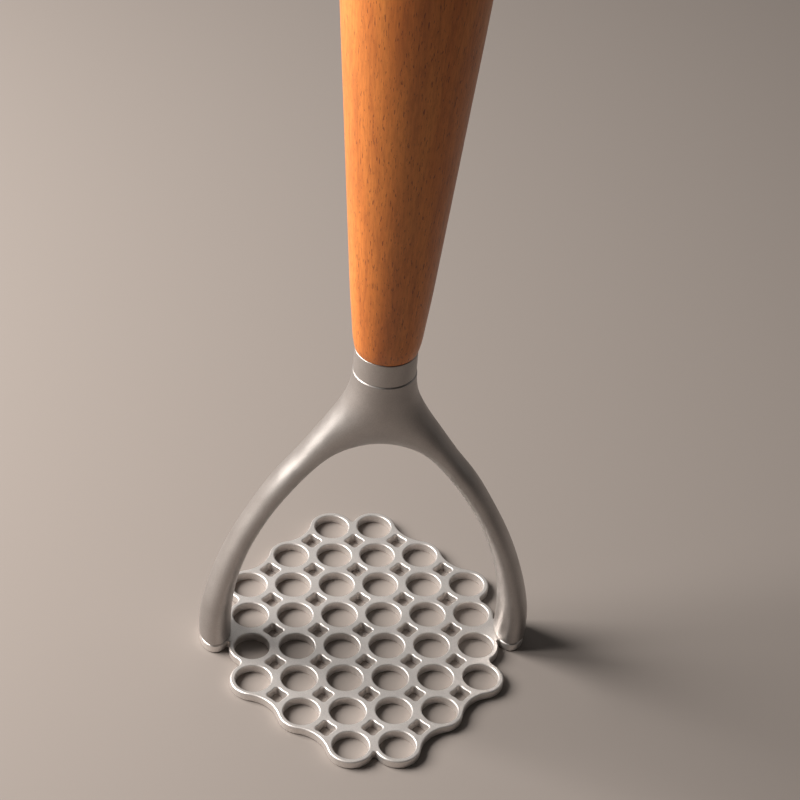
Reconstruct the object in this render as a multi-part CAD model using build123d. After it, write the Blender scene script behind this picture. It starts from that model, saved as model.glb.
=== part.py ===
from build123d import *
import os
from math import sqrt, sin, cos, radians

# Potato masher, millimetres. Origin: centre of the plate's underside. +Z up the handle,
# X across the two legs, Y fore and aft. The tool stands on its mashing plate.

# --- mashing plate -----------------------------------------------------------------
pitch = 13.0              # square grid of the round holes
plate_t = 2.6             # casting thickness
hole_r = 5.1              # round holes
rows = {0.5: 3, 1.5: 3, 2.5: 2, 3.5: 1}    # |y| in pitches: holes each side of x = 0
star_rows = {0: 2, 1: 2, 2: 2, 3: 1}       # |y| in pitches: star holes each side of x = 0
star_side_r = 7.05        # concave star sides, concentric with the round holes
star_tip_r = 0.9          # rounded star points
rim_r = 6.6               # scalloped rim round the outermost holes
step_r = 10.0             # hollow between diagonal neighbours of the rim
side_notch_r = 1.8        # notch between the side holes
end_notch_r = 0.7         # notch between the two end holes
edge_r = 0.4              # softened upper edges of the holes
rim_edge_r = 0.45         # softened upper edge of the rim
under_r = 0.4             # softened lower edge of the rim
lug_a, lug_b = 4.3, 6.6   # oval lug under each foot, half sizes
lug_neck = 9.0            # width of the web that ties a lug to the plate

# --- yoke ----------------------------------------------------------------------------
foot_x = 43.0             # legs stand at x = +-foot_x
neck_z = 98.2             # top of the neck
neck_r = 8.65
# leg stations: centre x, centre z, half width across the leg (first two lie below the foot)
leg = [(43.0, -14.0, 4.60), (43.0, -5.0, 4.60), (43.0, 3.0, 4.60), (43.0, 10.0, 4.50),
       (41.75, 20.0, 4.00), (39.35, 30.0, 3.50), (35.75, 40.0, 3.22), (31.0, 50.0, 3.08),
       (25.1, 60.0, 3.25)]
leg_end = (17.6, 69.8)    # where the leg's centre line runs into the crown
# outer line of the shoulder and neck, closed by a dome that is cut off at neck_z
shoulder = [(21.9, 70.0), (19.3, 74.0), (16.7, 78.0), (14.1, 82.0), (11.8, 86.0),
            (9.95, 90.0), (8.95, 94.0), (8.65, 98.2), (8.65, 102.0), (8.0, 106.5),
            (5.6, 110.3), (0.0, 112.0)]
arch = [(17.1, 65.4), (11.2, 71.2), (5.6, 73.9), (0.0, 74.8)]   # inner line of the crown
# fullness: z, and depth squared over the harmonic distance to the outlines
fullness = [(-20.0, 21.3), (3.0, 21.3), (20.0, 20.2), (35.0, 18.2), (50.0, 16.9),
            (62.0, 16.6), (75.0, 17.3), (120.0, 17.3)]
arch_fade = (76.0, 96.0)  # between these heights the arch stops thinning the neck
crown_sections = 22       # sections from the last leg station to the middle
side_points = 14          # points on each side of a section
lip_r = 0.5               # rounded lip at the top of the neck
foot_a, foot_b = 4.6, 6.95                 # oval foot, half sizes
# rounded lower edge of a foot: height above the plate, distance inside the oval
foot_edge = [(-0.3, 1.2), (0.0, 0.8), (0.3, 0.4), (0.7, 0.12), (1.2, -0.12), (1.8, -0.5)]

# --- ferrule, handle and the hidden joint between them and the yoke ------------------
ferrule_r = 8.45
ferrule_h = 7.1
ferrule_wall = 1.6
ferrule_floor = 2.0
gap = 0.05                # running clearance between hidden parts
stud_r = 4.0
stud_low, stud_top = 84.2, 138.0
insert_r, insert_h = 6.0, 24.0
tenon_gap = 0.4           # air under the tenon
# grip profile: z, radius
grip = [(109.0, 9.2), (113.5, 9.7), (120.0, 10.4), (133.0, 11.6), (159.0, 13.85), (185.0, 16.1),
        (207.0, 18.0), (218.0, 18.8)]
grip_start_r = 8.45       # flush with the ferrule
grip_max = (227.0, 19.15)
grip_end_z = 250.0

# --- plate screws ---------------------------------------------------------------------
screw_r, screw_head_r = 2.0, 3.75
screw_len = 13.0
screw_cone = screw_head_r - screw_r
socket_af, socket_depth = 2.5, 1.3

ferrule_z = neck_z
grip_z = ferrule_z + ferrule_h


def grid(table):
    """Grid points in pitches of a table of rows, mirrored to all four quarters."""
    for y, n in table.items():
        half = y != int(y)
        xs = [i + 0.5 for i in range(n)] if half else list(range(n + 1))
        for x in xs:
            for sx in ((1, -1) if x else (1,)):
                for sy in ((1, -1) if y else (1,)):
                    yield sx * x, sy * y


def rim_face():
    """Outline of the plate: convex arcs round the outer holes joined by tangent hollows."""
    quarter = [(0.5, -3.5), (1.5, -2.5), (2.5, -1.5), (2.5, -0.5)]
    ring = quarter + [(x, -y) for x, y in reversed(quarter)]
    ring += [(-x, -y) for x, y in ring]
    centres = [Vector(x * pitch, y * pitch) for x, y in ring]
    n = len(centres)
    hollows = []
    for i, c in enumerate(centres):
        d = centres[(i + 1) % n]
        half = (d - c).length / 2
        if half > 0.6 * pitch:
            r = step_r
        else:
            r = end_notch_r if abs(c.Y - d.Y) < 1 else side_notch_r
        out = (d - c).normalized().rotate(Axis.Z, -90)
        h = sqrt((r + rim_r) ** 2 - half ** 2)
        hollows.append(((c + d) / 2 + out * h, r))
    edges = []
    for i, c in enumerate(centres):
        before, after = hollows[i - 1], hollows[i]
        a = c + (before[0] - c).normalized() * rim_r
        b = c + (after[0] - c).normalized() * rim_r
        mid = c + ((a + b) / 2 - c).normalized() * rim_r
        if ((a - c).normalized() + (b - c).normalized()).dot(c) < 0:
            mid = c - (mid - c)
        edges.append(ThreePointArc(a, mid, b))
        nxt = centres[(i + 1) % n]
        e = nxt + (after[0] - nxt).normalized() * rim_r
        inner = after[0] + ((b + e) / 2 - after[0]).normalized() * after[1]
        edges.append(ThreePointArc(b, inner, e))
    return make_face(Wire(edges))


def star_face():
    """Four-pointed hole left between four round holes."""
    half = pitch / 2
    face = Rectangle(pitch, pitch)
    for sx in (1, -1):
        for sy in (1, -1):
            face -= Pos(sx * half, sy * half) * Circle(star_side_r)
    face = face.faces().sort_by_distance((0, 0, 0))[0]
    return fillet(face.vertices(), star_tip_r)


def make_plate():
    face = rim_face()
    for s in (1, -1):
        lug = Pos(s * foot_x, 0) * Ellipse(lug_a, lug_b)
        lug += Pos(s * (foot_x - 4), 0) * Rectangle(8, lug_neck)
        face += lug
    face = face.faces()[0]
    sharp = [v for v in face.vertices() if abs(v.X) > 37 and 4 < abs(v.Y) < 8.5]
    try:
        face = fillet(sharp, 0.5)
    except Exception:
        pass
    star = star_face()
    for x, y in grid(star_rows):
        face -= Pos(x * pitch, y * pitch) * star
    for x, y in grid(rows):
        face -= Pos(x * pitch, y * pitch) * Circle(hole_r)
    plate = extrude(face, plate_t)
    top = plate.faces().sort_by(Axis.Z)[-1]
    plate = fillet([e for w in top.inner_wires() for e in w.edges()], edge_r)
    top = plate.faces().sort_by(Axis.Z)[-1]
    plate = fillet(top.outer_wire().edges(), rim_edge_r)
    rim = plate.faces().sort_by(Axis.Z)[0].outer_wire().edges()
    plate = fillet(rim, under_r)
    for s in (1, -1):
        plate -= Pos(s * foot_x, 0, 0) * screw_clearance()
    return plate


def screw_clearance():
    """Countersunk hole for a plate screw, open at the underside."""
    r, h = screw_r + gap, screw_head_r + gap
    hole = Pos(0, 0, 8) * Cylinder(r, 20)
    hole += Pos(0, 0, screw_cone / 2) * Cone(h, r, screw_cone)
    return hole


def interpolate(t, table):
    for (t0, v0), (t1, v1) in zip(table, table[1:]):
        if t <= t1:
            return v0 + (v1 - v0) * max(0, t - t0) / (t1 - t0)
    return table[-1][1]


def distance(x, z, line):
    """Distance from a point of the front view to a polyline."""
    best = 1e9
    for a, b in zip(line, line[1:]):
        dx, dz = b.X - a.X, b.Y - a.Y
        t = max(0, min(1, ((x - a.X) * dx + (z - a.Y) * dz) / (dx * dx + dz * dz)))
        best = min(best, (x - a.X - t * dx) ** 2 + (z - a.Y - t * dz) ** 2)
    return sqrt(best)


def yoke_body():
    """One smooth loft from foot to foot through oval sections that fan out at the crown.

    The front view is set by an outer and an inner line. The half depth at a point grows
    with its distances to them, so that legs come out oval and the neck comes out round.
    """
    middle = Spline([(x, z) for x, z, a in leg] + [leg_end], tangents=[(0, 1), (-0.8, 1)])
    outside, inside = [], []
    for x, z, a in leg:
        t = middle.tangent_at(middle.param_at_point((x, z)))
        outside.append((x + a * t.Y, z - a * t.X))
        inside.append((x - a * t.Y, z + a * t.X))
    outer = Spline(outside + shoulder, tangents=[(0, 1), (-1, 0)])
    inner = Spline(inside + arch, tangents=[(0, 1), (-1, 0)])
    fine = 400
    outer_line = [outer @ (i / fine) for i in range(fine + 1)]
    inner_line = [inner @ (i / fine) for i in range(fine + 1)]

    def depth(x, z):
        t = max(0, min(1, (z - arch_fade[0]) / (arch_fade[1] - arch_fade[0])))
        near = 1 / distance(x, z, outer_line) + 1 / distance(-x, z, outer_line)
        near += (1 - t * t * (3 - 2 * t)) / distance(x, z, inner_line)
        return sqrt(interpolate(z, fullness) / near)

    def section(start, end, side):
        p, q = inner @ start, outer @ end
        points = []
        for k in range(2 * side_points):
            w = (1 - cos(radians(180 * k / side_points))) / 2
            x, z = p.X + w * (q.X - p.X), p.Y + w * (q.Y - p.Y)
            y = 0 if k in (0, side_points) else depth(x, z)
            points.append(Vector(side * x, -y if k < side_points else y, z))
        even = [k / (2 * side_points) for k in range(2 * side_points + 1)]
        return Wire([Edge.make_spline(points, periodic=True, parameters=even)])

    starts = [inner.param_at_point(p) for p in inside]
    ends = [outer.param_at_point(p) for p in outside]
    stations = []
    for i in range(len(leg) - 1):
        for f in (0, 0.5):
            stations.append((starts[i] + f * (starts[i + 1] - starts[i]),
                             ends[i] + f * (ends[i + 1] - ends[i])))
    for k in range(crown_sections + 1):
        f = k / crown_sections
        stations.append((starts[-1] + f * (1 - starts[-1]), ends[-1] + f * (1 - ends[-1])))
    left = [section(a, b, -1) for a, b in stations]
    right = [section(a, b, 1) for a, b in reversed(stations[:-1])]
    return Solid.make_loft(left + right)


def foot_cutter():
    """Block with a flaring oval hollow that rounds the lower edge of a foot."""
    ovals = Sketch() + [Pos(0, 0, h) * Ellipse(foot_a - d, foot_b - d) for h, d in foot_edge]
    top = foot_edge[-1][0]
    return Pos(0, 0, (top - 0.2) / 2) * Box(14, 20, top - 0.2 + 0.4) - loft(ovals.faces())


def make_yoke():
    yoke = Part() + yoke_body()
    yoke -= Pos(0, 0, neck_z + 20) * Box(60, 60, 40)
    yoke -= Pos(0, 0, plate_t - 15) * Box(120, 60, 30)
    for s in (1, -1):
        yoke -= Pos(s * foot_x, 0, plate_t) * foot_cutter()
    lip = Rectangle(2 * lip_r, 2 * lip_r, align=(Align.MIN, Align.MIN)) - Circle(lip_r)
    lip = Pos(neck_r - 0.9 * lip_r, neck_z - 0.9 * lip_r) * lip
    yoke -= revolve(Plane.XZ * lip, Axis.Z)
    yoke -= Pos(0, 0, (stud_low + neck_z) / 2) * Cylinder(stud_r + gap, neck_z - stud_low)
    for s in (1, -1):
        depth = screw_len - plate_t + 1
        yoke -= Pos(s * foot_x, 0, plate_t + depth / 2) * Cylinder(screw_r + gap, depth)
    return yoke


def make_ferrule():
    """Plain collar: a cup with a bored floor that holds the handle's tenon."""
    cup = Cylinder(ferrule_r, ferrule_h)
    cup = fillet(cup.edges().filter_by(GeomType.CIRCLE), 0.25)
    cup = Pos(0, 0, ferrule_z + ferrule_h / 2) * cup
    inside = ferrule_h - ferrule_floor
    cup -= Pos(0, 0, grip_z - inside / 2) * Cylinder(ferrule_r - ferrule_wall, inside)
    cup -= Pos(0, 0, ferrule_z) * Cylinder(stud_r + gap, 10)
    return cup


def make_handle():
    """Turned grip with a tenon below it, on the Z axis."""
    tenon_r = ferrule_r - ferrule_wall - gap
    tenon_z = ferrule_z + ferrule_floor + tenon_gap
    r, z = grip_start_r, grip_z
    flank = Edge.make_spline([Vector(r, z + 0.3)] + [Vector(gr, gz) for gz, gr in grip]
                             + [Vector(grip_max[1], grip_max[0])],
                             tangents=[Vector(0.287, 0.958), Vector(0, 1)], scale=False)
    start = Line((r - 0.3, z), (r, z + 0.3))
    rise = grip_end_z - grip_max[0]
    dome = Edge.make_spline([Vector(grip_max[1] * cos(radians(t)),
                                    grip_max[0] + rise * sin(radians(t)))
                             for t in (0, 15, 30, 45, 60, 75, 90)],
                            tangents=[Vector(0, 1), Vector(-1, 0)], scale=False)
    axis = Polyline((0, grip_end_z), (0, tenon_z), (tenon_r - 0.4, tenon_z),
                    (tenon_r, tenon_z + 0.4), (tenon_r, z), (r - 0.3, z))
    profile = make_face(Wire([start, flank, dome] + list(axis.edges())))
    handle = revolve(Plane.XZ * profile, Axis.Z)
    handle -= Pos(0, 0, tenon_z + insert_h / 2) * Cylinder(insert_r + gap, insert_h)
    top = stud_top + 2
    handle -= Pos(0, 0, (tenon_z + top) / 2) * Cylinder(stud_r + 0.25, top - tenon_z)
    return handle


def make_insert():
    """Threaded sleeve pressed into the handle, drawn as a plain bored sleeve."""
    z = ferrule_z + ferrule_floor + tenon_gap
    sleeve = Pos(0, 0, z + insert_h / 2 - 0.1) * Cylinder(insert_r, insert_h - 0.4)
    return sleeve - Pos(0, 0, z + insert_h / 2) * Cylinder(stud_r + gap, insert_h + 2)


def make_stud():
    """Steel stud from the yoke's neck through the ferrule into the handle."""
    length = stud_top - stud_low - 0.5
    stud = Cylinder(stud_r, length)
    stud = chamfer(stud.edges().filter_by(GeomType.CIRCLE), 0.6)
    return Pos(0, 0, stud_low + 0.5 + length / 2) * stud


def make_screw():
    """Countersunk socket screw, head down, flush with the plate's underside."""
    screw = Pos(0, 0, screw_len / 2) * Cylinder(screw_r, screw_len)
    screw = chamfer(screw.edges().sort_by(Axis.Z)[-1], 0.4)
    screw += Pos(0, 0, screw_cone / 2) * Cone(screw_head_r, screw_r, screw_cone)
    socket = extrude(RegularPolygon(socket_af / 2, 6, major_radius=False), socket_depth)
    return screw - socket


os.makedirs("parts", exist_ok=True)
nodes = {
    "mash_plate": make_plate(),
    "yoke": make_yoke(),
    "ferrule": make_ferrule(),
    "handle": make_handle(),
    "handle_insert": make_insert(),
    "stud": make_stud(),
    "plate_screw_left": Pos(-foot_x, 0, 0) * make_screw(),
    "plate_screw_right": Pos(foot_x, 0, 0) * make_screw(),
}
for name, solid in nodes.items():
    export_step(solid, f"parts/{name}.step")
    print(name, round(solid.volume, 1), len(solid.solids()), solid.is_valid,
          [round(v, 2) for v in tuple(solid.bounding_box().min) + tuple(solid.bounding_box().max)])
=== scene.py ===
import bpy
from math import radians
from mathutils import Euler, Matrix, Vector

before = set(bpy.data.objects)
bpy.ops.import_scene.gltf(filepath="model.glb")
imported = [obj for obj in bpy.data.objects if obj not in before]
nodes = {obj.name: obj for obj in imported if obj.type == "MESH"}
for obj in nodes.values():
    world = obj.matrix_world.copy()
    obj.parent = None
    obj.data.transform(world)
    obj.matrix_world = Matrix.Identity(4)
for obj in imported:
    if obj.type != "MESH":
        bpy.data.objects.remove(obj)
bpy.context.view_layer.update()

scene = bpy.context.scene

# Metres. The masher stands on its plate, legs across X, handle up +Z.
CAMERA_PLACE = (-0.0608, -0.4793, 0.4634)
CAMERA_TURN = (52.058, -4.070, -4.626)   # degrees, XYZ
SENSOR, LENS = 36.0, 102.55              # millimetres
CLIP = (0.05, 20.0)

FLOOR_SIDE, FLOOR_Z = 6, -0.0001         # just below the plate's underside
FLOOR_COLOUR = (0.328, 0.290, 0.266, 1)

WORLD_COLOUR = (0.80, 0.77, 0.75, 1)
WORLD_STRENGTH = 0.055
SOFT_WHITE = (1.0, 0.97, 0.94)           # back and fill lights
WHITE = (1, 1, 1)

CAST_GRAIN = 0.00003                     # bump heights
FERRULE_GRAIN = 0.00001
RING_RELIEF = 0.00001
WOOD_RELIEF = 0.00004


# ---------------------------------------------------------------- camera
data = bpy.data.cameras.new("camera")
data.sensor_width, data.lens = SENSOR, LENS
data.clip_start, data.clip_end = CLIP
camera = bpy.data.objects.new("camera", data)
camera.location = CAMERA_PLACE
camera.rotation_euler = Euler([radians(turn) for turn in CAMERA_TURN], "XYZ")
scene.collection.objects.link(camera)
scene.camera = camera


# ---------------------------------------------------------------- material helpers
class Graph:
    """A short way to write a node material."""

    def __init__(self, name):
        self.mat = bpy.data.materials.new(name)
        self.mat.use_nodes = True
        self.tree = self.mat.node_tree
        self.bsdf = self.tree.nodes["Principled BSDF"]
        self.coord = self.add("ShaderNodeTexCoord").outputs["Object"]

    def add(self, kind, inputs=None, **settings):
        """New node with its settings and the constants on its sockets."""
        node = self.tree.nodes.new(kind)
        for key, value in settings.items():
            setattr(node, key, value)
        for key, value in (inputs or {}).items():
            node.inputs[key].default_value = value
        return node

    def shader(self, **inputs):
        """Constants on the shader; an underscore stands for a space."""
        for key, value in inputs.items():
            self.bsdf.inputs[key.replace("_", " ")].default_value = value

    def link(self, a, b):
        self.tree.links.new(a, b)

    def mapped(self, scale):
        """Object coordinates, scaled along each axis."""
        node = self.add("ShaderNodeMapping", {"Scale": scale})
        self.link(self.coord, node.inputs["Vector"])
        return node.outputs["Vector"]

    def noise(self, vector, scale, detail, rough, distortion=0.0):
        node = self.add("ShaderNodeTexNoise",
                        {"Scale": scale, "Detail": detail, "Roughness": rough,
                         "Distortion": distortion})
        self.link(vector, node.inputs["Vector"])
        return node.outputs["Fac"]

    def ramp(self, fac, stops):
        """Colour ramp through (place, colour) stops."""
        node = self.add("ShaderNodeValToRGB")
        band = node.color_ramp
        while len(band.elements) < len(stops):
            band.elements.new(0.5)
        for element, (place, colour) in zip(band.elements, stops):
            element.position = place
            element.color = (*colour, 1)
        self.link(fac, node.inputs["Fac"])
        return node.outputs["Color"]

    def span(self, fac, low, high, out_low, out_high):
        """The range low..high mapped to out_low..out_high."""
        node = self.add("ShaderNodeMapRange",
                        {"From Min": low, "From Max": high,
                         "To Min": out_low, "To Max": out_high})
        self.link(fac, node.inputs["Value"])
        return node.outputs["Result"]

    def math(self, operation, a, b):
        node = self.add("ShaderNodeMath", operation=operation)
        for socket, value in zip(node.inputs, (a, b)):
            if isinstance(value, float):
                socket.default_value = value
            else:
                self.link(value, socket)
        return node.outputs[0]

    def darken(self, fac, a, b):
        """Colour a multiplied by colour b."""
        node = self.add("ShaderNodeMix", data_type="RGBA", blend_type="MULTIPLY")
        factor, first, second = (node.inputs[k] for k in (0, 6, 7))   # its colour sockets
        factor.default_value = fac
        self.link(a, first)
        self.link(b, second)
        return node.outputs[2]

    def bump(self, height, distance):
        node = self.add("ShaderNodeBump", {"Distance": distance, "Strength": 1.0})
        self.link(height, node.inputs["Height"])
        return node.outputs["Normal"]

    def out(self, colour, rough, normal):
        for value, key in ((colour, "Base Color"), (rough, "Roughness"), (normal, "Normal")):
            self.link(value, self.bsdf.inputs[key])
        return self.mat


def blasted(name, low, high, rough, grain=CAST_GRAIN, metallic=0.8):
    """Satin cast aluminium, evenly blasted: a fine dull grain over faint cloudiness."""
    g = Graph(name)
    g.shader(Metallic=metallic)
    cloud = g.noise(g.coord, 90, 4, 0.6)
    fine = g.noise(g.coord, 3200, 2, 0.6)
    colour = g.ramp(cloud, [(0.3, low), (0.7, high)])
    speck = g.ramp(fine, [(0.35, (0.90, 0.90, 0.90)), (0.6, WHITE)])
    colour = g.darken(1.0, colour, speck)
    roughness = g.span(g.noise(g.coord, 160, 3, 0.6), 0.3, 0.7, *rough)
    return g.out(colour, roughness, g.bump(fine, grain))


def turned(name, colour, rough):
    """Turned metal with faint rings round the Z axis."""
    g = Graph(name)
    g.shader(Metallic=1.0)
    rings = g.noise(g.mapped((0.02, 0.02, 1.0)), 5200, 2, 0.6)
    low = tuple(0.86 * c for c in colour)
    base = g.ramp(rings, [(0.3, low), (0.7, colour)])
    roughness = g.span(g.noise(g.coord, 300, 3, 0.6), 0.3, 0.7, rough, rough + 0.1)
    return g.out(base, roughness, g.bump(rings, RING_RELIEF))


def wood(name):
    """Oiled beech, straight grain up the handle, with short dark pores."""
    g = Graph(name)
    g.shader(Coat_Weight=0.35, Coat_Roughness=0.45)
    broad = g.noise(g.mapped((1.0, 1.0, 0.10)), 95, 3, 0.55, 0.3)
    bands = g.noise(g.mapped((1.0, 1.0, 0.05)), 420, 4, 0.6, 0.4)
    fibre = g.noise(g.mapped((1.0, 1.0, 0.09)), 2000, 4, 0.7)
    pores = g.noise(g.mapped((1.0, 1.0, 0.16)), 2500, 2, 0.5)
    base = g.ramp(broad, [(0.25, (0.70, 0.190, 0.026)), (0.5, (0.82, 0.255, 0.040)),
                          (0.78, (0.92, 0.330, 0.060))])
    band = g.ramp(bands, [(0.32, (0.70, 0.60, 0.50)), (0.55, WHITE)])
    base = g.darken(0.6, base, band)
    thread = g.ramp(fibre, [(0.34, (0.66, 0.56, 0.46)), (0.58, WHITE)])
    base = g.darken(0.6, base, thread)
    pore = g.ramp(pores, [(0.31, (0.42, 0.28, 0.18)), (0.38, WHITE)])
    base = g.darken(0.85, base, pore)
    roughness = g.span(fibre, 0.3, 0.7, 0.50, 0.38)
    height = g.math("ADD", g.math("MULTIPLY", fibre, 0.5),
                    g.span(pores, 0.24, 0.34, 0.0, 1.0))
    return g.out(base, roughness, g.bump(height, WOOD_RELIEF))


def dress(name, material):
    """Give a CAD node its one material."""
    obj = nodes[name]
    obj.data.materials.clear()
    obj.data.materials.append(material)


# Painted shade: the yoke gets a darker copy of the same cast aluminium, so its crown and
# legs read darker, as if shaded.
dress("yoke", blasted("cast_aluminium", (0.45, 0.42, 0.40), (0.52, 0.49, 0.47),
                      (0.36, 0.46)))
# Painted reflection: the plate gets a much lighter copy of the same aluminium, standing in
# for the light reflected off its upward tops.
dress("mash_plate", blasted("plate_aluminium", (0.82, 0.78, 0.75), (0.90, 0.86, 0.83),
                            (0.40, 0.50)))
dress("ferrule", blasted("ferrule_satin", (0.46, 0.425, 0.40), (0.52, 0.485, 0.46),
                         (0.38, 0.46), FERRULE_GRAIN, metallic=0.75))
dress("handle", wood("oiled_beech"))
dress("handle_insert", turned("turned_brass", (0.72, 0.54, 0.26), 0.28))
dress("stud", turned("plated_steel", (0.56, 0.56, 0.56), 0.3))
steel = turned("stainless_steel", (0.62, 0.61, 0.60), 0.25)
dress("plate_screw_left", steel)
dress("plate_screw_right", steel)


# ---------------------------------------------------------------- floor and light
bpy.ops.mesh.primitive_plane_add(size=FLOOR_SIDE, location=(0, 0, FLOOR_Z))
floor = bpy.context.object
floor.name = "floor"
g = Graph("floor_pale")
g.shader(Roughness=0.9, Specular_IOR_Level=0.2, Base_Color=FLOOR_COLOUR)
floor.data.materials.append(g.mat)


def area(name, place, aim, size, power, colour):
    """Square area light at a place, turned towards a point; power in watts."""
    light = bpy.data.lights.new(name, "AREA")
    light.size, light.energy, light.color = size, power, colour
    obj = bpy.data.objects.new(name, light)
    obj.location = place
    obj.rotation_euler = (Vector(aim) - Vector(place)).to_track_quat("-Z", "Y").to_euler()
    scene.collection.objects.link(obj)


area("key", (-0.600, 0.150, 0.50), (0, 0, 0.05), 0.50, 13.0, (1.0, 0.955, 0.91))
area("back", (-0.10, 0.75, 0.72), (0, 0, 0.02), 0.7, 0.6, SOFT_WHITE)
area("fill", (0.95, 0.35, 0.50), (0, 0, 0.08), 0.7, 0.4, SOFT_WHITE)

world = bpy.data.worlds.new("studio")
world.use_nodes = True
background = world.node_tree.nodes["Background"]
background.inputs["Color"].default_value = WORLD_COLOUR
background.inputs["Strength"].default_value = WORLD_STRENGTH
scene.world = world
scene.view_settings.view_transform = "Standard"
